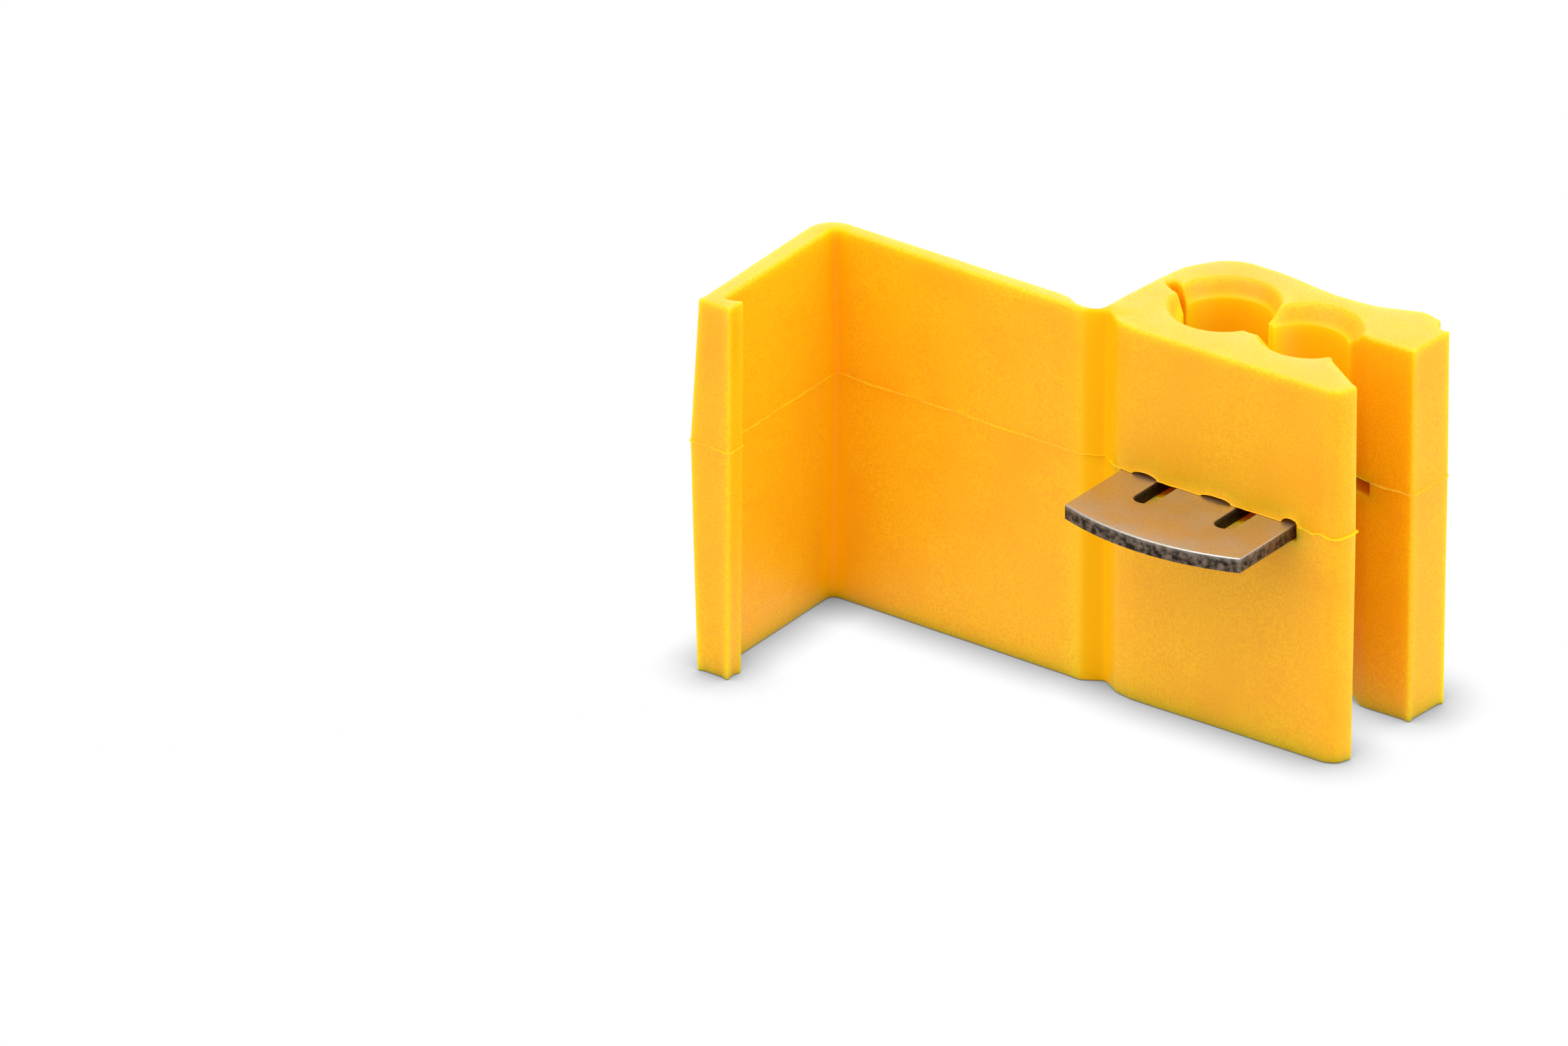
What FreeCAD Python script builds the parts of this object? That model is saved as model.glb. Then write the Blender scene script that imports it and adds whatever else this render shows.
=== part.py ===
import FreeCAD, Part
import math
import os

import Sketcher

# Insulation-displacement wire connector with two channels, moulded open and standing on its end.
# The wires run along +Z. The jaws open towards +X, the cover lies open towards -X, and the metal
# contact is pushed in towards +Y. Outline dimensions are measured from the block's own corner,
# where its flat front face (y = 0) starts; every sub-part is then shifted by the origin cells,
# so that the object stands on z = 0 with its box centred on the Z axis.

# alias, value in millimetres or degrees
DIMENSIONS = [
    ("length_z", 25.4), ("origin_x", -3.88), ("origin_y", 0.49),
    # front jaw and its face
    ("face_end_x", 14.7), ("nose_x", 15.8), ("nose_y", 0.5), ("tip_x", 16.1), ("tip_y", 1.8),
    ("throat_x", 12.4), ("throat_y", 4.15), ("neck_y", 5.15),
    ("side_x", -2.98), ("side_low_y", 1.75), ("side_top_x", -2.55), ("side_top_y", 6.3),
    ("groove_x", -2.46), ("groove_y", 1.11), ("shoulder_x", -1.59), ("shoulder_y", 0.71),
    ("heel_x", -0.4), ("heel_y", 0.3),
    # relief notch that lets the rear jaw flex
    ("notch_x", -1.55), ("notch_y", 6.6), ("notch_wide", 0.55),
    ("notch_in_x", 1.2), ("notch_back_x", 0.6), ("notch_back_y", 6.3),
    # channels: run channel first, tap channel second
    ("run_x", 3.0), ("run_y", 6.3), ("run_open_y", 6.85), ("run_radius", 2.7), ("run_mouth", 3.45),
    ("tap_x", 9.0), ("tap_y", 6.3), ("tap_open_x", 9.2), ("tap_open_y", 6.75),
    ("tap_radius", 2.35), ("tap_mouth", 3.1), ("funnel_deep", 1.05),
    # rear jaw
    ("rear_neck_y", 7.3), ("rear_land_x", 11.2), ("rear_land_y", 7.9),
    ("rear_lip_x", 12.7), ("rear_in_y", 7.5), ("rear_end_x", 16.12),
    ("catch_x", 16.29), ("catch_y", 11.15), ("catch_in_x", 15.4), ("catch_in_y", 11.34),
    ("bump_x", 14.9), ("bump_y", 12.2), ("bump_top_x", 13.4), ("bump_top_y", 12.6),
    ("waist_x", 9.0), ("waist_y", 11.4), ("back_x", 3.2), ("back_y", 12.1), ("back_left_x", 0.6),
    ("corner_x", -1.9), ("corner_y", 9.8), ("corner_mid_x", -0.85), ("corner_mid_y", 11.45),
    ("flank_x", -2.38), ("flank_y", 7.5),
    ("pocket_x", -1.3), ("pocket_y", 10.15), ("pocket_end_x", 13.2), ("pocket_end_y", 12.06),
    # raised band and ribs that house the contact's tips
    ("band_z", 12.8), ("band_tall", 5.8), ("band_proud", 1.1), ("band_end_x", 12.4),
    ("band_end_y", 12.8), ("band_corner_x", -1.25), ("band_corner_y", 12.15),
    ("band_left_x", -2.98), ("band_left_y", 8.9), ("band_low_y", 8.1),
    ("rib_radius", 1.4), ("rib_z", 8.8), ("rib_tall", 13.6), ("rib_one_x", 10.2), ("rib_one_y", 11.0),
    ("rib_two_x", 6.7), ("rib_two_y", 11.25), ("rib_three_x", 3.0), ("rib_three_y", 11.7),
    # contact plate, its slot in the front jaw and the relief grooves above that slot
    ("plate_z", 14.6), ("plate_thick", 1.0), ("plate_left_x", -0.5), ("plate_right_x", 12.5),
    ("plate_corner_y", -5.9), ("crown_radius", 18.2), ("plate_tip_y", 2.8),
    ("slit_half", 0.75), ("slit_end_y", -2.25), ("slit_lead", 0.4),
    ("slot_gap", 0.05), ("slot_y", -0.7), ("slot_long", 7.6), ("relief_radius", 0.8),
    ("relief_y", -0.4), ("relief_tall", 2.2), ("relief_one_x", 1.0), ("relief_two_x", 6.0),
    ("relief_three_x", 11.7),
    # cover: long wall, short wall and latch lip
    ("wall_end_x", -4.4), ("wall_in_y", 0.55), ("wall_back_y", 1.2), ("wall_foot_x", -5.9),
    ("wall_foot_y", 1.79), ("inner_x", -22.75), ("inner_y", 1.07), ("outer_x", -24.05),
    ("outer_y", 2.27), ("outer_radius", 1.6), ("ledge_x", -22.45), ("ledge_y", -10.88),
    ("ramp_x", -22.34), ("lip_x", -21.24), ("lip_y", -12.22), ("end_x", -23.5), ("end_y", -12.13),
    # living hinge between the front jaw and the cover
    ("web_x", -3.42), ("web_y", 0.58), ("web_back_x", -3.9), ("web_back_y", 1.155),
    ("web_ridge_y", 1.235),
]


def add_sheet(doc):
    """The spreadsheet that holds every driving dimension under its alias."""
    sheet = doc.addObject("Spreadsheet::Sheet", "Dims")
    for row, (alias, value) in enumerate(DIMENSIONS, start=1):
        sheet.set(f"A{row}", alias)
        sheet.set(f"B{row}", str(value))
        sheet.setAlias(f"B{row}", alias)
    doc.recompute()
    return sheet


def cell(name):
    """The expression for one cell, or for a sum such as 'run_x + run_radius'."""
    words = name.split()
    return " ".join(f"Dims.{word}" if word[0].isalpha() else word for word in words)


def number(doc, name):
    """The present value of such an expression, used to draw a sketch before it is solved."""
    total, sign = 0.0, 1.0
    for word in name.split():
        if word in "+-":
            sign = -1.0 if word == "-" else 1.0
        else:
            total += sign * (getattr(doc.Dims, word) if word[0].isalpha() else float(word))
    return total


def bind(feature, sizes):
    """Bind each property of a feature to its cells."""
    for prop, name in sizes.items():
        feature.setExpression(prop, cell(name))


def new_body(doc, label):
    body = doc.addObject("PartDesign::Body", label)
    body.Label = label
    body.setExpression("Placement.Base.x", "-Dims.origin_x")
    body.setExpression("Placement.Base.y", "-Dims.origin_y")
    return body


def plane(body, role="XY_Plane"):
    return next(item for item in body.Origin.OriginFeatures if item.Role == role)


def edge_between(start, end, radius, side):
    """A straight edge, or the arc of that radius that bulges to one side of the way it runs."""
    if radius is None:
        return Part.LineSegment(start, end)
    middle = (start + end) * 0.5
    half = (end - start).Length / 2
    outward = (end - start).cross(FreeCAD.Vector(0, 0, 1)).normalize() * (1 if side == "right" else -1)
    rise = radius - math.sqrt(max(radius * radius - half * half, 0.0))
    return Part.Arc(start, middle + outward * rise, end)


def draw(body, name, points, base=None):
    """Sketch a closed outline. A point is (x, y), or (x, y, radius, side) where an arc leaves it."""
    doc = body.Document
    sketch = body.newObject("Sketcher::SketchObject", name + "_outline")
    sketch.AttachmentSupport = [(plane(body), "")]
    sketch.MapMode = "FlatFace"
    if base:
        sketch.setExpression("AttachmentOffset.Base.z", cell(base))
    places = [FreeCAD.Vector(number(doc, p[0]), number(doc, p[1]), 0) for p in points]
    count = len(points)
    for i, point in enumerate(points):
        radius, side = (number(doc, point[2]), point[3]) if len(point) > 2 else (None, None)
        sketch.addGeometry(edge_between(places[i], places[(i + 1) % count], radius, side), False)
    ends = [end_of_edge(sketch, i, places[i]) for i in range(count)]
    for i in range(count):
        before = (i - 1) % count
        sketch.addConstraint(Sketcher.Constraint("Coincident", before, 3 - ends[before], i, ends[i]))
    for i, point in enumerate(points):
        tie(sketch, "DistanceX", (-1, 1, i, ends[i]), places[i].x, point[0])
        tie(sketch, "DistanceY", (-1, 1, i, ends[i]), places[i].y, point[1])
        if len(point) > 2:
            tie_arc(sketch, i, point)
    return sketch


def outline(body, name, points, height, base=None):
    """Pad a closed outline upwards from its base."""
    sketch = draw(body, name, points, base)
    pad = body.newObject("PartDesign::Pad", name)
    pad.Profile = sketch
    bind(pad, {"Length": height})
    body.Document.recompute()


def end_of_edge(sketch, index, place):
    """Which end of an edge, 1 or 2, lies at a place: an arc may be stored the other way round."""
    start = sketch.getPoint(index, 1)
    return 1 if (start - place).Length < 1e-6 else 2


def tie_arc(sketch, index, point):
    """Fix an arc whose ends are fixed: by its radius, or by its centre if it is a half circle."""
    doc = sketch.Document
    chord = (sketch.getPoint(index, 1) - sketch.getPoint(index, 2)).Length
    radius = number(doc, point[2])
    if chord < 1.999 * radius:
        tie(sketch, "Radius", (index,), radius, point[2])
    else:
        tie(sketch, "DistanceY", (-1, 1, index, 3), number(doc, point[1]), point[1])


def tie(sketch, kind, where, value, name):
    """Add one dimension to a sketch and bind it to its cells."""
    index = sketch.addConstraint(Sketcher.Constraint(kind, *where, value))
    sketch.setExpression(f"Constraints[{index}]", cell(name))


def primitive(body, kind, name, place, sizes):
    """Add or cut a PartDesign box, cylinder or cone with its own origin at a place."""
    solid = body.newObject("PartDesign::" + kind, name)
    for axis, value in zip("xyz", place):
        solid.setExpression("Placement.Base." + axis, cell(value))
    bind(solid, sizes)
    body.Document.recompute()
    return solid


def cut_channel(body, name, centre, radius, mouth):
    """A round channel along Z with a funnel at both ends."""
    x, y = centre
    primitive(body, "SubtractiveCylinder", name, (x, y, "0"), {"Radius": radius, "Height": "length_z"})
    primitive(body, "SubtractiveCone", name + "_low", (x, y, "0"),
              {"Radius1": mouth, "Radius2": radius, "Height": "funnel_deep"})
    primitive(body, "SubtractiveCone", name + "_high", (x, y, "length_z - funnel_deep"),
              {"Radius1": radius, "Radius2": mouth, "Height": "funnel_deep"})


def make_front_jaw(doc):
    """The fixed jaw with the flat face, its halves of both channels and the slot for the contact."""
    body = new_body(doc, "front_jaw")
    outline(body, "front_block", [
        ("groove_x", "groove_y"), ("shoulder_x", "shoulder_y"), ("heel_x", "heel_y"),
        ("0", "0"), ("face_end_x", "0"), ("nose_x", "nose_y"), ("tip_x", "tip_y"),
        ("throat_x", "throat_y"), ("tap_x", "throat_y"), ("tap_x", "neck_y"),
        ("notch_in_x", "neck_y"), ("notch_x", "notch_y"), ("side_top_x", "side_top_y"),
        ("side_x", "side_low_y"),
    ], "length_z")
    cut_channel(body, "run_front", ("run_x", "run_y"), "run_radius", "run_mouth")
    cut_channel(body, "tap_front", ("tap_x", "tap_y"), "tap_radius", "tap_mouth")
    primitive(body, "SubtractiveBox", "contact_slot",
              ("plate_left_x - slot_gap", "slot_y", "plate_z - slot_gap"),
              {"Length": "plate_right_x + slot_gap + slot_gap - plate_left_x", "Width": "slot_long",
               "Height": "plate_thick + slot_gap + slot_gap"})
    for count in ("one", "two", "three"):
        primitive(body, "SubtractiveCylinder", "relief_" + count,
                  (f"relief_{count}_x", "relief_y", "plate_z + plate_thick"),
                  {"Radius": "relief_radius", "Height": "relief_tall"})
    return body


def make_rear_jaw(doc):
    """The jaw that flexes, with its channel halves, pockets for the contact, band and ribs."""
    body = new_body(doc, "rear_jaw")
    outline(body, "rear_block", [
        ("notch_x", "notch_y + notch_wide"), ("notch_back_x", "notch_back_y"),
        ("notch_back_x", "rear_neck_y"), ("tap_open_x", "rear_neck_y"),
        ("tap_open_x", "rear_land_y"), ("rear_land_x", "rear_land_y"),
        ("rear_lip_x", "rear_in_y"), ("rear_end_x", "rear_in_y"), ("catch_x", "catch_y"),
        ("catch_in_x", "catch_in_y"), ("bump_x", "bump_y"), ("bump_top_x", "bump_top_y"),
        ("waist_x", "waist_y"), ("back_x", "back_y"), ("back_left_x", "back_y"),
        ("corner_mid_x", "corner_mid_y"), ("corner_x", "corner_y"), ("flank_x", "flank_y"),
    ], "length_z")
    outline(body, "band", [
        ("corner_x", "corner_y"), ("flank_x", "band_low_y"), ("band_left_x", "band_left_y"),
        ("band_corner_x", "band_corner_y"), ("back_left_x", "back_y + band_proud"),
        ("back_x", "back_y + band_proud"), ("waist_x", "waist_y + band_proud"),
        ("band_end_x", "band_end_y"), ("bump_top_x", "bump_top_y"), ("waist_x", "waist_y"),
        ("back_x", "back_y"), ("back_left_x", "back_y"), ("corner_mid_x", "corner_mid_y"),
    ], "band_tall", base="band_z")
    for count in ("one", "two", "three"):
        primitive(body, "AdditiveCylinder", "rib_" + count,
                  (f"rib_{count}_x", f"rib_{count}_y", "rib_z"),
                  {"Radius": "rib_radius", "Height": "rib_tall"})
    cut_channel(body, "run_rear", ("run_x", "run_open_y"), "run_radius", "run_mouth")
    cut_channel(body, "tap_rear", ("tap_open_x", "tap_open_y"), "tap_radius", "tap_mouth")
    cut_pocket(body)
    return body


def cut_pocket(body):
    """The pocket for the contact's tips, its floor parallel to the tips once the jaw is squeezed."""
    sketch = draw(body, "tip_pocket", [
        ("pocket_x", "notch_back_y"), ("pocket_end_x", "notch_back_y"),
        ("pocket_end_x", "pocket_end_y"), ("pocket_x", "pocket_y"),
    ], base="plate_z - slot_gap - slot_gap")
    pocket = body.newObject("PartDesign::Pocket", "tip_pocket")
    pocket.Profile = sketch
    pocket.Reversed = True
    bind(pocket, {"Length": "plate_thick + slot_gap + slot_gap + slot_gap + slot_gap"})
    body.Document.recompute()


def make_jaw_web(doc):
    """The strip beside the notch that bends when the rear jaw is squeezed."""
    body = new_body(doc, "jaw_web")
    outline(body, "jaw_strip", [
        ("notch_x", "notch_y"), ("notch_x", "notch_y + notch_wide"), ("flank_x", "flank_y"),
        ("side_top_x", "side_top_y"),
    ], "length_z")
    return body


def make_hinge_web(doc):
    """The thin living hinge that the cover swings on."""
    body = new_body(doc, "cover_hinge_web")
    outline(body, "hinge_strip", [
        ("wall_end_x", "wall_in_y"), ("web_x", "web_y"), ("groove_x", "groove_y"),
        ("side_x", "side_low_y"), ("web_x", "web_ridge_y"), ("web_back_x", "web_back_y"),
        ("wall_end_x", "wall_back_y"),
    ], "length_z")
    return body


def make_cover(doc):
    """The L-shaped cover: a long wall, a short wall across the jaws and the lip that latches."""
    body = new_body(doc, "cover")
    outline(body, "cover_walls", [
        ("wall_end_x", "wall_back_y"), ("wall_foot_x", "wall_foot_y"),
        ("outer_x + outer_radius", "outer_y", "outer_radius", "right"),
        ("outer_x", "outer_y - outer_radius"),
        ("end_x", "end_y"), ("lip_x", "lip_y"), ("ramp_x", "ledge_y"), ("ledge_x", "ledge_y"),
        ("inner_x", "inner_y"), ("wall_end_x", "wall_in_y"),
    ], "length_z")
    return body


def make_contact(doc):
    """The metal plate: a crowned edge to push on, and two slits that grip a conductor each."""
    body = new_body(doc, "contact_plate")
    points = [("plate_left_x", "plate_corner_y", "crown_radius", "right"),
              ("plate_right_x", "plate_corner_y"),
              ("plate_right_x", "plate_tip_y")]
    for x in ("tap_x", "run_x"):
        points += [
            (x + " + slit_half + slit_lead", "plate_tip_y"),
            (x + " + slit_half", "plate_tip_y - slit_lead - slit_lead"),
            (x + " + slit_half", "slit_end_y", "slit_half", "left"),
            (x + " - slit_half", "slit_end_y"),
            (x + " - slit_half", "plate_tip_y - slit_lead - slit_lead"),
            (x + " - slit_half - slit_lead", "plate_tip_y"),
        ]
    points.append(("plate_left_x", "plate_tip_y"))
    outline(body, "plate", points, "plate_thick", base="plate_z")
    return body


def check(doc, bodies):
    """Stop unless every object was computed and every sub-part is one valid solid."""
    for item in doc.Objects:
        if "Invalid" in item.State or "Error" in item.State:
            raise RuntimeError(f"{item.Name} failed: {item.State}")
    for body in bodies:
        shape = body.Shape
        if shape.isNull() or not shape.isValid() or len(shape.Solids) != 1:
            raise RuntimeError(f"{body.Label} is not one valid solid")
        box = shape.BoundBox
        print(f"{body.Label:16s} volume {shape.Volume:8.1f}  x {box.XMin:.2f} {box.XMax:.2f}"
              f"  y {box.YMin:.2f} {box.YMax:.2f}  z {box.ZMin:.2f} {box.ZMax:.2f}")


def main():
    doc = FreeCAD.newDocument("wire_connector")
    add_sheet(doc)
    makers = (make_front_jaw, make_rear_jaw, make_jaw_web, make_hinge_web, make_cover, make_contact)
    bodies = [make(doc) for make in makers]
    doc.recompute()
    check(doc, bodies)
    os.makedirs("parts", exist_ok=True)
    for body in bodies:
        body.Shape.exportStep(os.path.join("parts", body.Label + ".step"))


main()
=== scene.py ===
import math

import bpy
import bmesh
import numpy as np
from mathutils import Matrix, Vector, geometry, noise

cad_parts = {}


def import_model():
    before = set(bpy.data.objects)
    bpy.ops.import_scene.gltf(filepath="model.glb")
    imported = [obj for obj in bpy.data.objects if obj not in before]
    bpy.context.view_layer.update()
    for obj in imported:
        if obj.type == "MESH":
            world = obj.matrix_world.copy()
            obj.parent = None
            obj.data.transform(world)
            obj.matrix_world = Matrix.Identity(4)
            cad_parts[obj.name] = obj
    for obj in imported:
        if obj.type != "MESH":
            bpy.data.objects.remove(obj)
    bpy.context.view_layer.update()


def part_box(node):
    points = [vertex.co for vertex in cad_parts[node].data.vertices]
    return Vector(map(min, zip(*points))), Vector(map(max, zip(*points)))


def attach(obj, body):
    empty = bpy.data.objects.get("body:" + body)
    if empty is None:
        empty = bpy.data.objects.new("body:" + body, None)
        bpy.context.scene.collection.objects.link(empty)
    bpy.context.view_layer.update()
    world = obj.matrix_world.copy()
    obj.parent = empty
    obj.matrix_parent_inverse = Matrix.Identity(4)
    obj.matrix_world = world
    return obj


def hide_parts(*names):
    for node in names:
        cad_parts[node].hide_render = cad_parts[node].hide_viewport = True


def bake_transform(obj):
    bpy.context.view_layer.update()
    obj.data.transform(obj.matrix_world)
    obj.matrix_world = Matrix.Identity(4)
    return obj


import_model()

# ---------------------------------------------------------------- sizes and places
# Section sizes are in millimetres from the block's front left corner, where its flat face starts.
MM = 0.001
plate_low, plate_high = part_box("contact_plate")
jaw_low, jaw_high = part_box("front_jaw")
PLATE_START = -0.5
CORNER = (plate_low.x - PLATE_START * MM, jaw_low.y)
TALL = jaw_high.z / MM
PARTING = plate_high.z / MM

SLOT_X = (-0.55, 12.75)
SLOT_Z = (PARTING - 1.06, PARTING + 0.02)
SLOT_BLEND, SLOT_REACH, SLOT_FACE = 1.2, 1.6, 1.2
# arches in the slot's upper edge: (middle, half width, height)
NOTCHES = ((1.35, 0.95, 0.27), (6.75, 1.15, 0.24), (12.3, 0.66, 0.38))
RIM = 0.2
FLASH, FLASH_HALF = 0.11, 0.04
TORN_FLASH, TORN_DROP, TORN_WAVE, TORN_PITCH = 0.09, 0.12, 0.1, 4.2
ROLL_OVER, BURR = 0.11, 0.03
POCKETS = ((12.95, 9.25), (8.35, 3.3), (2.35, -1.0))
POCKET_START, POCKET_Y, POCKET_SLOPE = -1.3, (6.0, 10.15), 0.132
POCKET_FRONT = 1.0
HINGE_ROOT, HINGE_BACK = (-2.7, 0.98), (-3.02, 1.72)
DRAFT = math.radians(0.45)
SHARP = math.radians(38)
UNEVEN, UNEVEN_SCALE, UNEVEN_CLIMB = 0.03, 0.22, 0.12
END_BULGE = 0.55
END_BULGE_INSIDE = 0.2
# where the end wall's bulges start, and over what length they grow
BULGE_OUTSIDE, BULGE_INSIDE, BULGE_INSIDE_END = (-22.9, 0.7), (-22.0, 0.4), (-23.1, 0.3)
# the inner bulge stops here, short of the lip
BULGE_LIP = -11.5
# where a loft needs close rings: (height, spread)
PARTING_STOP, FUNNEL_SPREAD, BAND_SPREAD = (PARTING, 0.064), 0.15, 0.3
JAW_STEP, COVER_STEP, PLATE_RING_STEP = 0.27, 0.6, 0.2
SLOT_CUT_Y = (-2.0, 1.3)
# noise along an outline: (amount, scale, seed)
STRAYS = ((0.12, 0.25, 3.0), (0.05, 1.3, 7.0))
SWELLS = ((1.1, 0.4, 12.0), (0.5, 1.7, 15.0))
STRAY_REACH = 1.2
FUNNEL = 1.1

# channel halves: (x, y, radius) below the funnel and at the rim; FRONT_NECK_Y has the same two levels
FRONT_RUN = ((3.0, 6.3, 2.7), (3.0, 5.95, 3.4))
FRONT_TAP = ((9.0, 6.3, 2.35), (9.6, 5.92, 3.3))
REAR_RUN = ((2.75, 6.5, 2.9), (2.65, 6.75, 3.35))
REAR_TAP = ((8.68, 6.2, 2.8), (8.9, 6.4, 3.5))
THROAT_Y, FRONT_NECK_Y, REAR_NECK_Y = 3.95, (4.7, 4.0), 7.0
NOTCH_TIP, NOTCH_R = (-1.4, 6.87), 0.3


def world(x, y, z):
    """A point of the design, in millimetres from the block's corner, as a point of the scene."""
    return Vector((CORNER[0] + x * MM, CORNER[1] + y * MM, z * MM))


# ---------------------------------------------------------------- camera
VIEW_AZIMUTH = math.radians(35.1)
VIEW_ELEVATION = math.radians(26.1)
VIEW_ROLL = math.radians(0.34)
VIEW_WIDTH = 96.0 * MM
VIEW_AIM = (-21.0 * MM, -12.06 * MM)
CAMERA_DISTANCE = 2.0
SENSOR = 36.0


def make_camera():
    """A long lens, aimed left of the block's upper corner and below it."""
    data = bpy.data.cameras.new("camera")
    camera = bpy.data.objects.new("camera", data)
    bpy.context.scene.collection.objects.link(camera)
    away = Vector((math.sin(VIEW_AZIMUTH) * math.cos(VIEW_ELEVATION),
                   -math.cos(VIEW_AZIMUTH) * math.cos(VIEW_ELEVATION), math.sin(VIEW_ELEVATION)))
    right = Vector((0, 0, 1)).cross(away).normalized()
    target = world(0.0, 0.0, TALL) + right * VIEW_AIM[0] + away.cross(right) * VIEW_AIM[1]
    turn = away.to_track_quat("Z", "Y").to_matrix().to_4x4() @ Matrix.Rotation(VIEW_ROLL, 4, "Z")
    camera.matrix_world = Matrix.Translation(target + away * CAMERA_DISTANCE) @ turn
    data.sensor_width = SENSOR
    data.lens = SENSOR * CAMERA_DISTANCE / VIEW_WIDTH
    data.clip_start, data.clip_end = 0.05, 20.0
    bpy.context.scene.camera = camera


make_camera()


# ---------------------------------------------------------------- outlines
def run(points, step):
    """Straight runs through points (x, y, corner radius), each corner rounded, at an even spacing."""
    spots = [np.array(p[:2], float) for p in points]
    out = [spots[0]]
    for i in range(1, len(points)):
        here = spots[i]
        if i < len(points) - 1 and points[i][2] > 0:
            back, ahead = unit(spots[i - 1] - here), unit(spots[i + 1] - here)
            turn = math.pi - math.acos(np.clip(back @ ahead, -1, 1))
            reach = points[i][2] * math.tan(turn / 2)
            start, end = here + back * reach, here + ahead * reach
            straight(out, start, step)
            bend(out, start, here, end, turn, points[i][2], step)
        else:
            straight(out, here, step)
    return np.array(out)


def unit(vector):
    return vector / np.linalg.norm(vector)


def straight(out, end, step):
    start = out[-1]
    count = max(1, int(round(np.linalg.norm(end - start) / step)))
    for k in range(1, count + 1):
        out.append(start + (end - start) * k / count)


def bend(out, start, corner, end, turn, radius, step):
    """A circular corner from start to end."""
    count = max(3, int(math.ceil(turn * radius / step)), int(turn / 0.3))
    middle = (start + end) / 2
    centre = corner + unit(middle - corner) * radius / math.cos(turn / 2)
    first = math.atan2(*(start - centre)[::-1])
    last = math.atan2(*(end - centre)[::-1])
    sweep = (last - first + math.pi) % (2 * math.pi) - math.pi
    for k in range(1, count + 1):
        angle = first + sweep * k / count
        out.append(centre + radius * np.array((math.cos(angle), math.sin(angle))))


def arc(circle, first, last, count):
    """Points of a circle from one angle to another, both ends included."""
    angles = np.linspace(first, last, count)
    return np.stack([circle[0] + circle[2] * np.cos(angles), circle[1] + circle[2] * np.sin(angles)], 1)


def line(start, end, count):
    return np.array(start) + (np.array(end) - np.array(start)) * np.linspace(0, 1, count)[:, None]


def between(channel, share):
    """The circle of a channel at a share of the way up its funnel."""
    return tuple(a + (b - a) * share for a, b in zip(*channel))


def angle_at(circle, point):
    return math.atan2(point[1] - circle[1], point[0] - circle[0])


def meet_level(circle, y, side):
    """Where a circle crosses a level line, on its left (-1) or right (1)."""
    return (circle[0] + side * math.sqrt(max(circle[2] ** 2 - (y - circle[1]) ** 2, 0)), y)


def meet_circles(a, b, side):
    """Where two circles cross, in front (-1) or behind (1) the line of their centres."""
    ax, ay, ar = a
    bx, by, br = b
    apart = math.hypot(bx - ax, by - ay)
    along = (apart ** 2 + ar ** 2 - br ** 2) / (2 * apart)
    up = math.sqrt(max(ar ** 2 - along ** 2, 0)) * side
    ux, uy = (bx - ax) / apart, (by - ay) / apart
    return (ax + along * ux - up * uy, ay + along * uy + up * ux)


def meet_line(circle, start, end):
    """Where the line from start to end first enters a circle."""
    s, e = np.array(start), np.array(end)
    d = e - s
    f = s - np.array(circle[:2])
    a, b, c = d @ d, 2 * f @ d, f @ f - circle[2] ** 2
    return tuple(s + d * (-b - math.sqrt(max(b * b - 4 * a * c, 0))) / (2 * a))


def neck(left, right, level, side):
    """The two ends of the flat tongue between two channels, which a deep funnel narrows to a point."""
    start, end = meet_level(left, level, 1), meet_level(right, level, -1)
    if end[0] - start[0] > NECK_LEAST:
        return start, end
    point = meet_circles(left, right, side)
    half = NECK_LEAST / 2
    return (point[0] - half, point[1]), (point[0] + half, point[1])


def turned(first, last, way):
    """The last angle, moved by whole turns so that the sweep from first goes the stated way."""
    while way > 0 and last < first:
        last += 2 * math.pi
    while way < 0 and last > first:
        last -= 2 * math.pi
    return last


def channel_arc(circle, start, end, way, count):
    first = angle_at(circle, start)
    return arc(circle, first, turned(first, angle_at(circle, end), way), count)


CORNER_INSIDE = (-22.73, 1.07)
THROAT_X, NECK_LEAST = 12.4, 0.08
LAND_START, LAND_END = (12.7, 7.5), (10.9, 7.98)

FACE_RUN = run([
    (*HINGE_ROOT, 0), (-2.35, 1.19, 0.3), (-1.0, 0.3, 1.4), (0.3, 0.05, 2.0),
    (14.9, -0.2, 1.2), (15.8, 0.2, 1.0), (16.05, 0.9, 0.6), (16.05, 1.45, 0.2), (THROAT_X, THROAT_Y, 0),
], 0.15)
BACK_RUN = run([
    (*LAND_START, 0), (16.12, 7.52, 0.25), (16.29, 11.15, 0.15), (15.42, 11.34, 0.25),
    (14.9, 12.3, 0.5), (13.5, 12.7, 1.1), (10.6, 11.62, 5.0), (7.6, 11.42, 11.0),
    (3.4, 12.12, 11.0), (-0.5, 12.2, 3.2), (-2.25, 9.3, 2.0), (-2.62, 7.2, 0), (-2.9, 4.2, 0),
    (*HINGE_BACK, 0),
], 0.15)
NOTCH_FRONT = ((-1.5, 6.58), (1.0, 5.16))
NOTCH_REAR = ((-1.35, 7.16), (1.0, 6.12))


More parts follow.
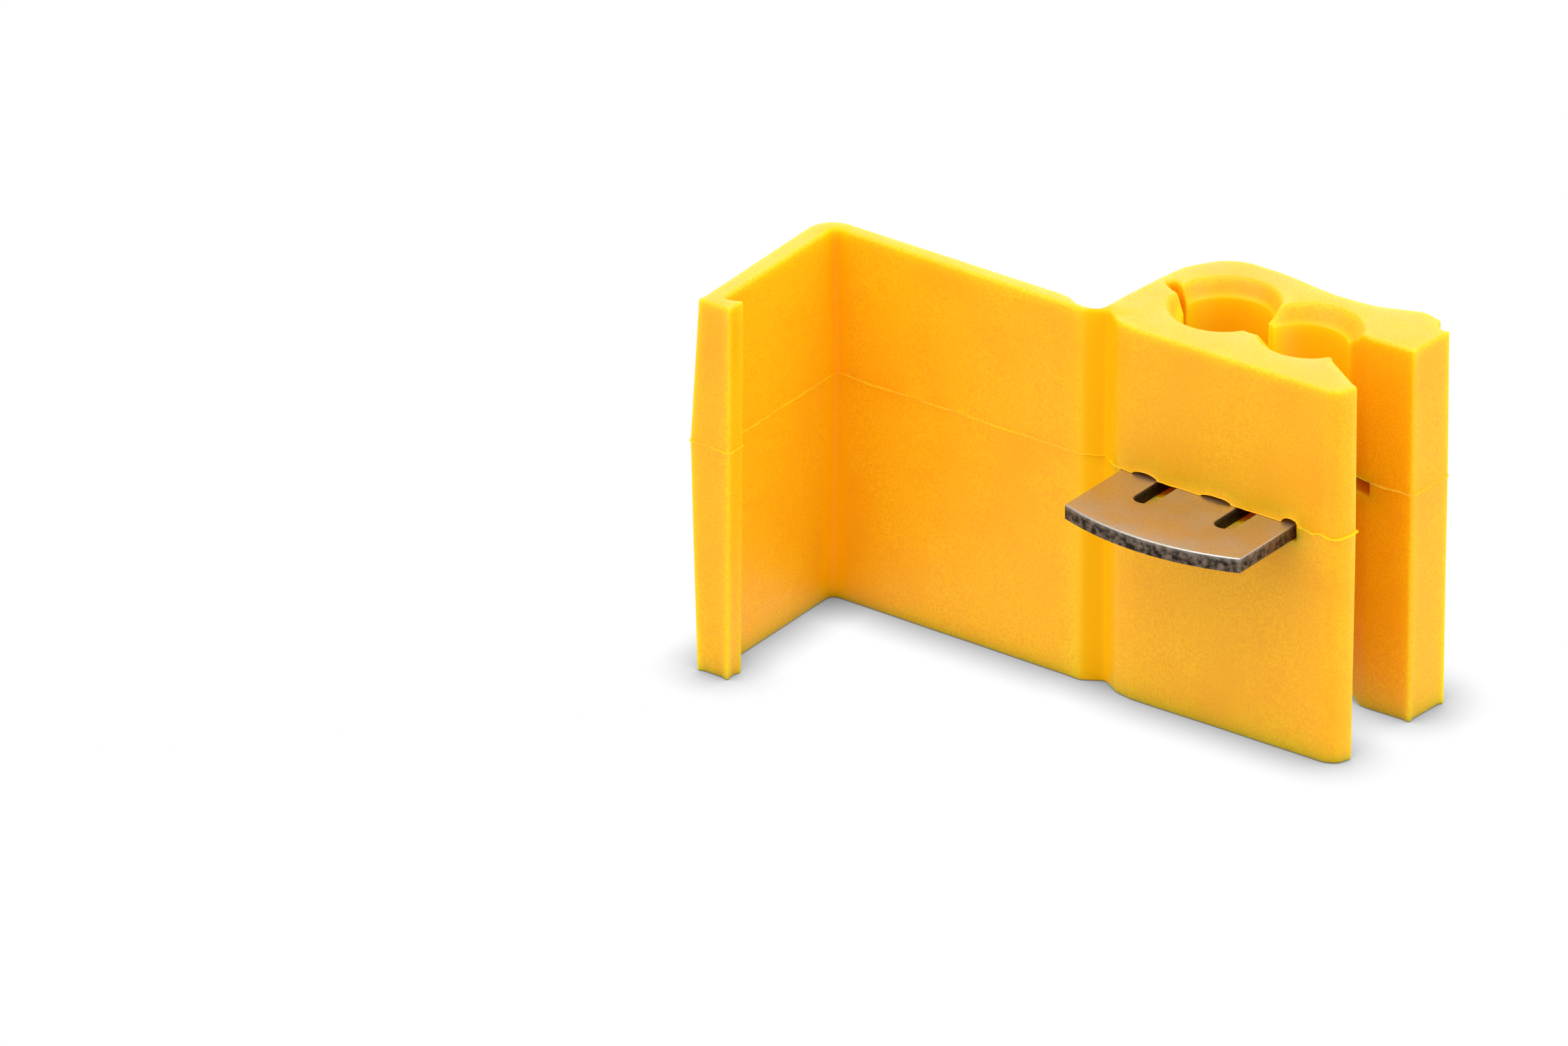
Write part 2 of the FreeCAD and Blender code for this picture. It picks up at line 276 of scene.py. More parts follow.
def jaw_section(share):
    """The closed outline of both jaws at a share of the way up the funnels, counter-clockwise."""
    run_f, tap_f = between(FRONT_RUN, share), between(FRONT_TAP, share)
    run_r, tap_r = between(REAR_RUN, share), between(REAR_TAP, share)
    throat = meet_level(tap_f, THROAT_Y, 1)
    throat = (min(throat[0], THROAT_X - 0.1), THROAT_Y)
    level = FRONT_NECK_Y[0] + (FRONT_NECK_Y[1] - FRONT_NECK_Y[0]) * share
    neck_right, neck_left = neck(run_f, tap_f, level, -1)[::-1]
    notch_in = meet_line(run_f, *NOTCH_FRONT)
    notch_out = meet_line(run_r, *NOTCH_REAR)
    back_left, back_right = neck(run_r, tap_r, REAR_NECK_Y, 1)
    land = meet_line(tap_r, LAND_START, LAND_END)
    tip_first = math.atan2(NOTCH_FRONT[0][1] - NOTCH_TIP[1], NOTCH_FRONT[0][0] - NOTCH_TIP[0])
    tip_last = turned(tip_first, math.atan2(NOTCH_REAR[0][1] - NOTCH_TIP[1],
                                            NOTCH_REAR[0][0] - NOTCH_TIP[0]), -1)
    pieces = [
        FACE_RUN,
        line((THROAT_X, THROAT_Y), throat, 10)[1:],
        channel_arc(tap_f, throat, neck_right, -1, 26)[1:],
        line(neck_right, neck_left, 7)[1:],
        channel_arc(run_f, neck_left, notch_in, -1, 40)[1:],
        line(notch_in, NOTCH_FRONT[0], 14)[1:],
        arc((NOTCH_TIP[0], NOTCH_TIP[1], NOTCH_R), tip_first, tip_last, 9)[1:-1],
        line(NOTCH_REAR[0], notch_out, 14),
        channel_arc(run_r, notch_out, back_left, -1, 40)[1:],
        line(back_left, back_right, 7)[1:],
        channel_arc(tap_r, back_right, land, -1, 26)[1:],
        line(land, LAND_START, 8)[1:-1],
        BACK_RUN,
    ]
    return np.concatenate(pieces)


COVER_RUN = run([
    (*HINGE_BACK, 0), (-3.14, 1.4, 0.1), (-3.5, 1.19, 0.3), (-4.0, 1.15, 0.5),
    (-4.7, 1.27, 0.6), (-5.45, 1.7, 0.5), (-6.3, 1.81, 1.0), (-24.3, 2.28, 1.9),
    (-23.75, -12.12, 0.22), (-21.25, -12.22, 0.15), (-21.22, -10.72, 0.12), (-22.45, -10.88, 0.15),
    (*CORNER_INSIDE, 0.4), (-4.9, 0.5, 1.5), (-3.7, 0.39, 0.9), (*HINGE_ROOT, 0),
], 0.2)

PLATE_HALF = 6.5
PLATE_MIDDLE = PLATE_START + PLATE_HALF
PLATE_OUTER, PLATE_INNER = -5.9, 2.8
CROWN_R = 18.2
SLIT_HALF, SLIT_OFF, SLIT_END = 0.75, 3.0, -2.25
LEAD_IN, LEAD_IN_START = 0.4, 2.0
PLATE_STEP = 0.3


def plate_section():
    """The contact's outline: a crowned front edge and two slits with round ends."""
    half = math.asin(PLATE_HALF / CROWN_R)
    centre = (PLATE_MIDDLE, PLATE_OUTER + CROWN_R * math.cos(half), CROWN_R)
    right, left = PLATE_MIDDLE + PLATE_HALF, PLATE_MIDDLE - PLATE_HALF
    pieces = [arc(centre, -math.pi / 2 - half, -math.pi / 2 + half, 60)]
    pieces.append(line((right, PLATE_OUTER), (right, PLATE_INNER), 30)[1:])
    for x in (PLATE_MIDDLE + SLIT_OFF, PLATE_MIDDLE - SLIT_OFF):
        pieces.append(run([
            (*pieces[-1][-1], 0), (x + SLIT_HALF + LEAD_IN, PLATE_INNER, 0),
            (x + SLIT_HALF, LEAD_IN_START, 0), (x + SLIT_HALF, SLIT_END, 0),
        ], PLATE_STEP)[1:])
        pieces.append(arc((x, SLIT_END, SLIT_HALF), 0, -math.pi, 17)[1:])
        pieces.append(run([
            (x - SLIT_HALF, SLIT_END, 0), (x - SLIT_HALF, LEAD_IN_START, 0),
            (x - SLIT_HALF - LEAD_IN, PLATE_INNER, 0),
        ], PLATE_STEP)[1:])
    back_to_start = [(*pieces[-1][-1], 0), (left, PLATE_INNER, 0), (left, PLATE_OUTER, 0)]
    pieces.append(run(back_to_start, PLATE_STEP)[1:-1])
    return np.concatenate(pieces)


# ---------------------------------------------------------------- lofted meshes
def outward(section, open_ended=False):
    """Unit normals of a counter-clockwise outline, pointing out of the material."""
    ahead = np.roll(section, -1, 0) - section
    behind = section - np.roll(section, 1, 0)
    if open_ended:
        ahead[-1], behind[0] = behind[-1], ahead[0]
    ahead /= np.maximum(np.linalg.norm(ahead, axis=1), 1e-9)[:, None]
    behind /= np.maximum(np.linalg.norm(behind, axis=1), 1e-9)[:, None]
    way = ahead + behind
    way /= np.maximum(np.linalg.norm(way, axis=1), 1e-9)[:, None]
    return np.stack([way[:, 1], -way[:, 0]], 1)


def rim_inset(z, low, high, radius):
    """How far a rounded rim draws the outline in at a height."""
    gap = min(z - low, high - z)
    if gap >= radius:
        return 0.0
    return radius - math.sqrt(max(radius ** 2 - (radius - gap) ** 2, 0.0))


def levels(low, high, stops, step, radius):
    """Heights for a loft: a quarter circle's at the rims, close together near each stop, even elsewhere."""
    rims = [radius * (1 - math.cos(a)) for a in np.linspace(0, math.pi / 2, 5)]
    fixed = [low + r for r in rims] + [high - r for r in rims]
    for stop, spread in stops:
        fixed += [stop + spread * share for share in STOP_SHARES]
    even = np.linspace(low + radius, high - radius, int((high - low) / step))
    spare = [z for z in even if min(abs(z - f) for f in fixed) > 0.4 * step]
    return sorted(fixed + spare)


STOP_SHARES = (-1.0, -0.5, 0.0, 0.5, 1.0)
ROOMY = 0.5


def room(section, side):
    """The share of an offset that each point has room for: little at a corner, outer (1) or inner (-1)."""
    ahead = np.roll(section, -2, 0) - section
    behind = section - np.roll(section, 2, 0)
    cross = behind[:, 0] * ahead[:, 1] - behind[:, 1] * ahead[:, 0]
    turn = side * np.arctan2(cross, np.sum(ahead * behind, 1))
    length = (np.linalg.norm(ahead, axis=1) + np.linalg.norm(behind, axis=1)) / 2
    radius = length / np.maximum(turn, 1e-3)
    share = np.clip(radius / ROOMY, 0.05, 1)
    share[:2], share[-2:] = share[2], share[-3]
    padded = np.pad(share, 2, mode="edge")
    return np.min([padded[k:k + len(share)] for k in range(5)], 0)


def loft(name, rings, heights, plan=None):
    """A closed mesh through rings of points, one ring to a height, with a flat cap at each end."""
    count = len(rings[0])
    points = []
    for ring, height in zip(rings, heights):
        points += [(x, y, z) for (x, y), z in zip(ring, np.broadcast_to(height, count))]
    mesh = bpy.data.meshes.new(name)
    faces = []
    for k in range(len(rings) - 1):
        a, b = k * count, (k + 1) * count
        faces += [(a + i, a + (i + 1) % count, b + (i + 1) % count, b + i) for i in range(count)]
    flat = [False] * len(faces)
    for k, flip in ((0, True), (len(rings) - 1, False)):
        cap = cap_faces(rings[k] if plan is None else plan)
        faces += [tuple(k * count + i for i in (tri[::-1] if flip else tri)) for tri in cap]
        flat += [True] * len(cap)
    mesh.from_pydata([world(*p) for p in points], [], faces)
    mesh.polygons.foreach_set("use_smooth", [not f for f in flat])
    mesh.update()
    piece = bpy.data.objects.new(name, mesh)
    bpy.context.scene.collection.objects.link(piece)
    return piece


def cap_faces(ring):
    """Triangles that fill an outline."""
    count = len(ring)
    result = geometry.delaunay_2d_cdt([Vector(p) for p in ring.tolist()], [],
                                      [list(range(count))], 1, 1e-7)
    sources = [found[0] for found in result[3]]
    return [tuple(sources[i] for i in tri) for tri in result[2]]


def waver(points, scale, seed):
    """Smooth noise along an outline, from -1 to 1."""
    return np.array([noise.noise(Vector((x * scale, y * scale, seed))) for x, y in points])


def smooth_step(value):
    value = np.clip(value, 0, 1)
    return value * value * (3 - 2 * value)


# ---------------------------------------------------------------- lumps on the rear jaw
RIBS = (3.2, 6.7)
RIB_R, RIB_HIGH = 1.38, 1.08
RIB_Z = (PARTING - 6.75 + RIB_R, PARTING + 6.75 - RIB_R)
WIDE_RIB = (10.2, 17.4)
ARCHES = ((1.45, 2.1, 2.9), (4.95, 1.5, 2.7), (8.3, 1.6, 2.8))
BAND = (0.2, 18.2)
BAND_START = (13.4, 12.62)
BAND_HIGH, BAND_FALL, BAND_DEPTH, BAND_LOW_RISE = 1.22, 0.3, 3.0, 0.75
STEP_DEPTH, STEP_SHARE = 2.2, 0.12
RIB_POWER, ARCH_EDGE = 2.2, 0.16
FADE_IN, FADE_OUT = 0.7, 1.2


def soft_max(a, b, k=0.12):
    gap = np.maximum(k - np.abs(a - b), 0) / k
    return np.maximum(a, b) + gap * gap * k * 0.25


def lump_height(u, z):
    """How far the rear jaw's back stands out, u along the outline from the bump and at height z."""
    across = np.minimum(np.abs(u - RIBS[0]), np.abs(u - RIBS[1]))
    across_wide = np.maximum(np.maximum(WIDE_RIB[0] - u, u - WIDE_RIB[1]), 0)
    across = np.minimum(across, across_wide)
    over = max(RIB_Z[0] - z, z - RIB_Z[1], 0.0)
    reach = np.hypot(across, over) / RIB_R
    ribs = RIB_HIGH * np.sqrt(np.clip(1 - reach ** RIB_POWER, 0, 1))
    rise = z - PARTING
    inside = smooth_step((u - BAND[0]) / FADE_IN) * smooth_step((BAND[1] - u) / FADE_OUT)
    if rise < 0:
        band = BAND_HIGH * inside * smooth_step((rise + BAND_DEPTH) / 0.35)
        if rise < -STEP_DEPTH:
            band = band * (1 - STEP_SHARE * smooth_step((-rise - STEP_DEPTH) / 0.5))
        return soft_max(ribs, band)
    high = BAND_HIGH - BAND_FALL * rise
    band = np.zeros_like(u)
    for middle, wide, tall in ARCHES:
        edge = 1 - np.hypot((u - middle) / wide, rise / tall)
        band = np.maximum(band, high * smooth_step(edge / ARCH_EDGE))
    low = high * smooth_step((BAND_LOW_RISE - rise) / 0.5) * inside
    band = np.maximum(band, low) * smooth_step((u - BAND[0]) / FADE_IN)
    return soft_max(ribs, np.maximum(band, 0))


# ---------------------------------------------------------------- the moulding
def funnel_share(z):
    return float(np.clip((FUNNEL - min(z, TALL - z)) / FUNNEL, 0, 1))


def notch_rise(x):
    """How far the slot's upper edge arches up, at a place along the slot."""
    rise = np.zeros_like(x)
    for middle, half, tall in NOTCHES:
        rise = np.maximum(rise, tall * np.sqrt(np.clip(1 - ((x - middle) / half) ** 2, 0, 1)))
    return rise


def wavers(points, terms, base):
    """A base value with smooth noise of several scales added."""
    return sum((amount * waver(points, scale, seed) for amount, scale, seed in terms), base)


def parting_line(points):
    """How far the parting line strays up or down along an outline, and how proud its flash stands."""
    stray = wavers(points, STRAYS, 0)
    proud = FLASH * wavers(points, SWELLS, 1)
    x, y = points.T
    torn = smooth_step((x - SLOT_X[1]) / 0.5) * (y < THROAT_Y)
    stray = stray + torn * (TORN_WAVE * np.sin(TORN_PITCH * (x - SLOT_X[1])) - TORN_DROP)
    proud = proud + TORN_FLASH * torn
    return stray, proud


def near_parting(z, reach):
    """One at the parting line, falling to nothing at a distance from it."""
    return float(smooth_step(1 - abs(z - PARTING) / reach))


def shape_rings(heights, section_at, slot_line=False):
    """Rings of a moulding: draft, rounded rims, an uneven face and flash that strays along the parting.

    An outline starts and ends on the hinge's root, where the two mouldings meet.
    """
    rings, places = [], []
    for z in heights:
        section = section_at(z)
        stray, proud = parting_line(section)
        if slot_line:
            x, y = section.T
            slot = smooth_step((x - SLOT_X[0] + SLOT_REACH) / SLOT_BLEND)
            slot = slot * smooth_step((SLOT_X[1] + SLOT_REACH - x) / SLOT_BLEND) * (y < SLOT_FACE)
            stray = stray + (notch_rise(x) - stray) * slot
        push = -(math.tan(DRAFT) * abs(z - PARTING) + rim_inset(z, 0, TALL, RIM)) * room(section, 1)
        push = push + proud * math.exp(-((z - PARTING) / FLASH_HALF) ** 2) * room(section, -1)
        push = push + UNEVEN * waver(section, UNEVEN_SCALE, z * UNEVEN_CLIMB)
        rings.append(section + outward(section, True) * np.reshape(push, (-1, 1)))
        places.append(z + stray * near_parting(z, STRAY_REACH))
    return rings, places


def make_jaws():
    """Both jaws and the strip that joins them, as one mesh; the real moulding bends beside its notch."""
    stops = [PARTING_STOP, (FUNNEL, FUNNEL_SPREAD), (TALL - FUNNEL, FUNNEL_SPREAD),
             (PARTING - BAND_DEPTH + 0.2, BAND_SPREAD)]
    heights = levels(0.0, TALL, stops, JAW_STEP, RIM)
    base = jaw_section(0.0)
    back = len(base) - len(BACK_RUN)
    start = back + int(np.argmin(np.hypot(*(BACK_RUN - BAND_START).T)))
    steps = np.linalg.norm(np.diff(base, axis=0), axis=1)
    along = np.concatenate([[0], np.cumsum(steps)])
    u = along - along[start]
    on_back = (u > 0) & (u < BAND[1] + 0.5)
    rings, places = shape_rings(heights, lambda z: jaw_section(funnel_share(z)), True)
    for k, z in enumerate(heights):
        lumps = np.where(on_back, lump_height(u, z), 0.0)
        rings[k] = rings[k] + outward(rings[k], True) * lumps[:, None]
    piece = loft("jaw_moulding", rings, places, jaw_section(1.0))
    carve(piece, [slot_cutter(), pocket_cutter()])
    return piece


def slot_cutter():
    """The slot's mouth in the front face, with arches in its upper edge."""
    across = np.linspace(SLOT_X[0], SLOT_X[1], 160)
    top = np.stack([across, SLOT_Z[1] + notch_rise(across)], 1)
    outline = [(SLOT_X[1], SLOT_Z[0]), (SLOT_X[0], SLOT_Z[0])] + [tuple(p) for p in top]
    near, far = ([(x, y, z) for x, z in outline] for y in SLOT_CUT_Y)
    return prism("slot_cutter", near, far)


def pocket_cutter():
    """The rest of the slot, and the three pockets that the contact's prongs enter in the rear jaw."""
    outline = [(SLOT_X[0], POCKET_FRONT), (SLOT_X[1], POCKET_FRONT)]
    for right, left in POCKETS:
        deep_right, deep_left = (POCKET_Y[1] + POCKET_SLOPE * (x - POCKET_START) for x in (right, left))
        outline += [(right, POCKET_Y[0]), (right, deep_right), (left, deep_left), (left, POCKET_Y[0])]
    low = [(x, y, SLOT_Z[0]) for x, y in outline]
    high = [(x, y, SLOT_Z[1]) for x, y in outline]
    return prism("pocket_cutter", low, high)


def prism(name, near, far):
    """A closed prism between two matching outlines."""
    count = len(near)
    mesh = bpy.data.meshes.new(name)
    sides = [(i, (i + 1) % count, count + (i + 1) % count, count + i) for i in range(count)]
    ends = [tuple(range(count))[::-1], tuple(range(count, 2 * count))]
    mesh.from_pydata([world(*p) for p in near + far], [], sides + ends)
    shape = bmesh.new()
    shape.from_mesh(mesh)
    bmesh.ops.recalc_face_normals(shape, faces=shape.faces)
    shape.to_mesh(mesh)
    shape.free()
    piece = bpy.data.objects.new(name, mesh)
    bpy.context.scene.collection.objects.link(piece)
    return piece


def carve(piece, cutters):
    """Cuts closed shapes out of a piece and removes them."""
    for cutter in cutters:
        cut = piece.modifiers.new("carve", "BOOLEAN")
        cut.operation = "DIFFERENCE"
        cut.solver = "EXACT"
        cut.object = cutter
    view = bpy.context.evaluated_depsgraph_get()
    mesh = bpy.data.meshes.new_from_object(piece.evaluated_get(view))
    piece.modifiers.clear()
    piece.data = mesh
    for cutter in cutters:
        bpy.data.objects.remove(cutter)


def make_cover():
    """The cover and its living hinge, whose end butts against the block's heel."""
    heights = levels(0.0, TALL, [PARTING_STOP], COVER_STEP, RIM)
    rings, places = shape_rings(heights, lambda z: COVER_RUN)
    x, y = COVER_RUN.T
    outside = smooth_step((BULGE_OUTSIDE[0] - x) / BULGE_OUTSIDE[1])
    inside = smooth_step((BULGE_INSIDE[0] - x) / BULGE_INSIDE[1]) * (y > BULGE_LIP)
    inside = inside * smooth_step((x - BULGE_INSIDE_END[0]) / BULGE_INSIDE_END[1])
    for k, z in enumerate(heights):
        span = TALL - PARTING if z > PARTING else PARTING
        bulge = 1 - abs(z - PARTING) / span
        rings[k][:, 0] += bulge * (END_BULGE_INSIDE * inside - END_BULGE * outside)
    return loft("cover_moulding", rings, places, COVER_RUN)


def make_plate():
    """The stamped contact: rolled over at its top edge, sharp below, with sheared sides."""
    low, high = plate_low.z / MM, plate_high.z / MM
    heights = levels(low, high, [], PLATE_RING_STEP, ROLL_OVER)
    base = plate_section()
    normal = outward(base)
    rings = []
    for z in heights:
        inset = rim_inset(z, low - ROLL_OVER, high, ROLL_OVER) + rim_inset(z, low, high + BURR, BURR)
        rings.append(base - normal * inset)
    piece = loft("contact", rings, heights, base)
    depth = np.repeat((high - np.array(heights)) / ROLL_OVER, len(base))
    # the walls inside the slits, which the material darkens as painted shade
    from_slit = np.abs(np.abs(base[:, 0] - PLATE_MIDDLE) - SLIT_OFF)
    slit_shade_mask = (base[:, 1] > SLIT_END - SLIT_HALF - 0.05) & (from_slit < SLIT_HALF + 0.05)
    paint(piece, "sheared", smooth_step(depth - 0.3))
    paint(piece, "slit_shade", np.tile(slit_shade_mask, len(heights)))
    return piece


def paint(piece, name, values):
    """A number for each of a mesh's points, for its material to read."""
    piece.data.attributes.new(name, "FLOAT", "POINT").data.foreach_set("value", values.astype(np.float32))


ROOT_REACH, CORNER_REACH, CORNER_SHADE = 1.0, 0.9, 0.8
EDGE_REACH, EDGE_FACE, BORE_REACH = 0.5, 1.5, 0.3


def paint_zones(piece):
    """Paints a moulding for its material.

    "thin" is where light isn't scattered: the hinge's root, where the two mouldings meet, and the thin
    edge above the contact's slot. The second number is painted shade at the root and the cover's inner
    corner, a darker orange that also shines less. The third is painted light on the walls of the channels.
    """
    points = np.array([v.co[:] for v in piece.data.vertices]) / MM - np.array([*CORNER, 0.0]) / MM
    x, y, z = points.T
    root = smooth_step(1.6 - np.hypot(x - HINGE_ROOT[0], y - HINGE_ROOT[1]) / ROOT_REACH)
    along = smooth_step((x - SLOT_X[0] + EDGE_REACH) / EDGE_REACH)
    along = along * smooth_step((SLOT_X[1] + EDGE_REACH - x) / EDGE_REACH)
    edge = smooth_step(1.5 - np.abs(z - SLOT_Z[1] - notch_rise(x)) / EDGE_REACH) * along * (y < EDGE_FACE)
    inner = COVER_RUN[int(np.argmin(np.hypot(*(COVER_RUN - CORNER_INSIDE).T)))]
    # the cover's inner corner, given painted shade: a darker orange that shines less
    corner = smooth_step(1.5 - np.hypot(x - inner[0], y - inner[1]) / CORNER_REACH)
    # the channels' walls, given painted light: a lighter yellow
    painted_bore_light = np.zeros_like(x)
    for channel in (FRONT_RUN, FRONT_TAP, REAR_RUN, REAR_TAP):
        middle_x, middle_y, radius = channel[0]
        reach = radius + BORE_REACH - np.hypot(x - middle_x, y - middle_y)
        painted_bore_light = np.maximum(painted_bore_light, smooth_step(reach / 0.2))
    painted_bore_light = painted_bore_light * smooth_step((np.minimum(z, TALL - z) - BORE_REACH) / 0.5)
    paint(piece, "thin", np.maximum(root, edge))
    # painted shade at the hinge's root and the cover's inner corner
    paint(piece, "painted_shade", np.maximum(root, CORNER_SHADE * corner))
    # painted light on the walls of the channels
    paint(piece, "painted_bore_light", painted_bore_light)


jaws = make_jaws()
cover = make_cover()
plate = make_plate()
for piece in (jaws, cover, plate):
    piece.data.set_sharp_from_angle(angle=SHARP)
paint_zones(jaws)
paint_zones(cover)


# ---------------------------------------------------------------- materials
def add_node(tree, kind, settings, inputs):
    """A node with its properties, and its inputs as values or as other nodes' sockets."""
    made = tree.nodes.new(kind)
    for name, value in settings.items():
        setattr(made, name, value)
    for name, value in inputs.items():
        if isinstance(value, bpy.types.NodeSocket):
            tree.links.new(value, made.inputs[name])
        else:
            made.inputs[name].default_value = value
    return made


def new_material(name):
    """A material, its node tree, its shader and its object coordinates."""
    material = bpy.data.materials.new(name)
    material.use_nodes = True
    tree = material.node_tree
    place = add_node(tree, "ShaderNodeTexCoord", {}, {}).outputs["Object"]
    return material, tree, tree.nodes["Principled BSDF"], place


def noise_at(tree, place, scale, detail):
    return add_node(tree, "ShaderNodeTexNoise", {},
                    {"Vector": place, "Scale": scale, "Detail": detail}).outputs["Fac"]


def spread(tree, value, low, high, to_low, to_high):
    return add_node(tree, "ShaderNodeMapRange", {},
                    {"Value": value, "From Min": low, "From Max": high,
                     "To Min": to_low, "To Max": to_high}).outputs["Result"]


def mix(tree, factor, first, second):
    return add_node(tree, "ShaderNodeMixRGB", {},
                    {"Fac": factor, "Color1": first, "Color2": second}).outputs["Color"]


def bump(tree, height, strength, distance, under=None):
    inputs = {"Height": height, "Strength": strength, "Distance": distance}
    if under is not None:
        inputs["Normal"] = under
    return add_node(tree, "ShaderNodeBump", {}, inputs).outputs["Normal"]


def painted(tree, name):
    """A number that was painted on the mesh."""
    return add_node(tree, "ShaderNodeAttribute", {"attribute_name": name}, {}).outputs["Fac"]


LIGHT_YELLOW, DEEP_YELLOW = (0.95, 0.51, 0.002, 1), (0.86, 0.395, 0.002, 1)
GRAIN_YELLOW = (0.84, 0.38, 0.002, 1)
# painted shade for the hinge's root and the cover's inner corner, then painted light for the channels'
# walls
PAINTED_SHADE_YELLOW, BORE_LIGHT_YELLOW = (0.96, 0.46, 0.001, 1), (1.0, 0.59, 0.002, 1)
FACE_TIN, FACE_HAZE = (0.62, 0.58, 0.53, 1), (0.51, 0.46, 0.38, 1)
FACE_SPECK = (0.38, 0.32, 0.25, 1)
SIDE_BRASS, SIDE_SMEAR = (0.2, 0.15, 0.11, 1), (0.028, 0.02, 0.014, 1)
# painted shade for the walls inside the contact's slits
SLIT_SHADE_SIDE = (0.03, 0.02, 0.015, 1)
SHINE, SHADED_SHINE = 0.3, 0.05
SCATTER_RADIUS, SCATTER_SCALE = (1.0, 0.75, 0.08), 0.0026
# noise scales, per metre
MOTTLE_SCALE, SWELL_SCALE, GRAIN_SCALE = 150, 700, 6500
HAZE_SCALE, SMEAR_SCALE, SPECK_SCALE = 450, 2600, 5200


def plastic():
    """Yellow polypropylene, slightly translucent, with the fine matt grain of a blasted mould."""
    material, tree, shader, place = new_material("yellow_plastic")
    mottle = spread(tree, noise_at(tree, place, MOTTLE_SCALE, 4), 0.46, 0.74, 0.0, 0.75)
    grain_noise = noise_at(tree, place, GRAIN_SCALE, 3)
    grain = spread(tree, grain_noise, 0.35, 0.65, 0.0, 0.8)
    swell = noise_at(tree, place, SWELL_SCALE, 2)
    thin, painted_shade, painted_bore_light = (painted(tree, name) for name in ("thin", "painted_shade", "painted_bore_light"))
    colour = mix(tree, mottle, LIGHT_YELLOW, DEEP_YELLOW)
    colour = mix(tree, grain, colour, GRAIN_YELLOW)
    # painted shade at the hinge's root and the cover's inner corner
    colour = mix(tree, painted_shade, colour, PAINTED_SHADE_YELLOW)
    # painted light on the walls of the channels
    colour = mix(tree, painted_bore_light, colour, BORE_LIGHT_YELLOW)
    tree.links.new(colour, shader.inputs["Base Color"])
    tree.links.new(spread(tree, swell, 0.3, 0.7, 0.4, 0.5), shader.inputs["Roughness"])
    fine = bump(tree, grain_noise, 0.25, 0.00003)
    tree.links.new(bump(tree, swell, 0.3, 0.00006, fine), shader.inputs["Normal"])
    tree.links.new(spread(tree, painted_shade, 0.0, 1.0, SHINE, SHADED_SHINE), shader.inputs["Specular IOR Level"])
    tree.links.new(spread(tree, thin, 0.0, 1.0, 1.0, 0.0), shader.inputs["Subsurface Weight"])
    shader.inputs["Subsurface Radius"].default_value = SCATTER_RADIUS
    shader.inputs["Subsurface Scale"].default_value = SCATTER_SCALE
    return material


def metal():
    """Tin on brass: a hazy, specked face, sheared sides with dark smears, and painted shade on the walls
    inside the slits.
    """
    material, tree, shader, place = new_material("tinned_brass")
    sheared, slit_shade = painted(tree, "sheared"), painted(tree, "slit_shade")
    haze = spread(tree, noise_at(tree, place, HAZE_SCALE, 4), 0.35, 0.7, 0.0, 0.6)
    specks = spread(tree, noise_at(tree, place, SPECK_SCALE, 3), 0.55, 0.75, 0.0, 0.5)
    smears = spread(tree, noise_at(tree, place, SMEAR_SCALE, 5), 0.35, 0.62, 0.0, 1.0)
    face = mix(tree, haze, FACE_TIN, FACE_HAZE)
    face = mix(tree, specks, face, FACE_SPECK)
    side = mix(tree, smears, SIDE_BRASS, SIDE_SMEAR)
    # painted shade on the walls inside the slits
    side = mix(tree, slit_shade, side, SLIT_SHADE_SIDE)
    tree.links.new(mix(tree, sheared, face, side), shader.inputs["Base Color"])
    rough_face = spread(tree, haze, 0.0, 0.6, 0.34, 0.48)
    rough = mix(tree, sheared, rough_face, spread(tree, smears, 0.0, 1.0, 0.35, 0.6))
    tree.links.new(rough, shader.inputs["Roughness"])
    uneven = spread(tree, sheared, 0.0, 1.0, 0.06, 0.4)
    tree.links.new(bump(tree, smears, uneven, 0.00004), shader.inputs["Normal"])
    shader.inputs["Metallic"].default_value = 1.0
    return material


yellow, tin = plastic(), metal()
for piece in (jaws, cover):
    piece.data.materials.clear()
    piece.data.materials.append(yellow)
plate.data.materials.append(tin)

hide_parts("front_jaw", "rear_jaw", "jaw_web")
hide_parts("cover", "cover_hinge_web")
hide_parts("contact_plate")
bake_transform(jaws)
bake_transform(cover)
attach(plate, "contact")


# ---------------------------------------------------------------- stage and light
FLOOR_HALF = 3.0
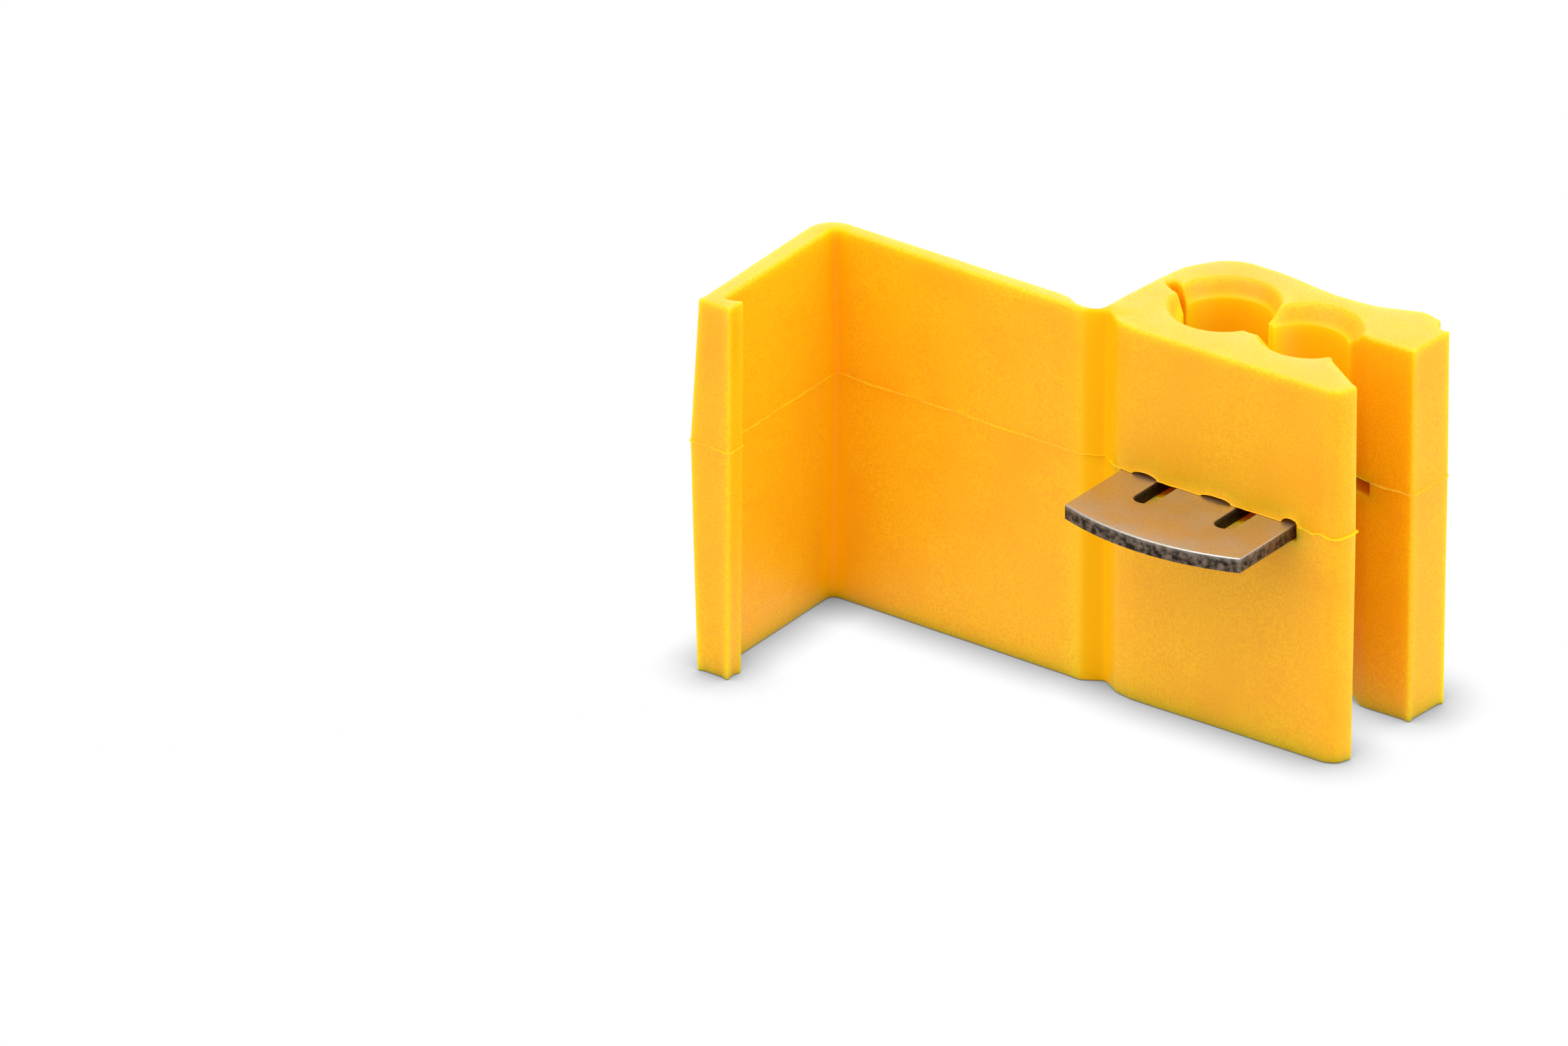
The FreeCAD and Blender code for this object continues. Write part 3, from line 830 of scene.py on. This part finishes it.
# the first value is how far the floor's painted contact shadow reaches
SHADOW_REACH, WORLD_GLOW, LIGHT_SIZE = 3.5 * MM, 0.6, 0.6


def make_floor():
    """A white lit table; close to the object its glow is dimmed by ambient occlusion, as a painted soft
    contact shadow.
    """
    mesh = bpy.data.meshes.new("floor")
    mesh.from_pydata([(-FLOOR_HALF, -FLOOR_HALF, 0), (FLOOR_HALF, -FLOOR_HALF, 0),
                      (FLOOR_HALF, FLOOR_HALF, 0), (-FLOOR_HALF, FLOOR_HALF, 0)], [], [(0, 1, 2, 3)])
    floor = bpy.data.objects.new("floor", mesh)
    bpy.context.scene.collection.objects.link(floor)
    material, tree, shader, _ = new_material("floor")
    tree.nodes.remove(shader)
    # painted contact shadow: ambient occlusion dims the floor's glow near the object
    contact_shadow = add_node(tree, "ShaderNodeAmbientOcclusion", {"samples": 16}, {"Distance": SHADOW_REACH})
    glow = add_node(tree, "ShaderNodeEmission", {}, {"Strength": contact_shadow.outputs["AO"]})
    tree.links.new(glow.outputs["Emission"], tree.nodes["Material Output"].inputs["Surface"])
    material.cycles.emission_sampling = "NONE"
    mesh.materials.append(material)


def make_light(name, place, size, power):
    """A square softbox aimed at the origin, under the object's middle."""
    data = bpy.data.lights.new(name, "AREA")
    data.size = size
    data.energy = power
    lamp = bpy.data.objects.new(name, data)
    lamp.location = place
    lamp.rotation_euler = Vector(place).to_track_quat("Z", "Y").to_euler()
    bpy.context.scene.collection.objects.link(lamp)


def make_world():
    surroundings = bpy.data.worlds.new("studio")
    surroundings.use_nodes = True
    surroundings.node_tree.nodes["Background"].inputs["Color"].default_value = (1, 1, 1, 1)
    surroundings.node_tree.nodes["Background"].inputs["Strength"].default_value = WORLD_GLOW
    bpy.context.scene.world = surroundings


make_floor()
make_world()
make_light("overhead", (0.05, -0.15, 0.75), 0.7, 3.6)
make_light("right", (0.62, 0.14, 0.38), LIGHT_SIZE, 2.65)
make_light("left", (-0.31, -0.53, 0.43), LIGHT_SIZE, 1.9)
make_light("behind", (-0.46, 0.65, 0.42), LIGHT_SIZE, 2.3)
bpy.context.scene.view_settings.view_transform = "Standard"
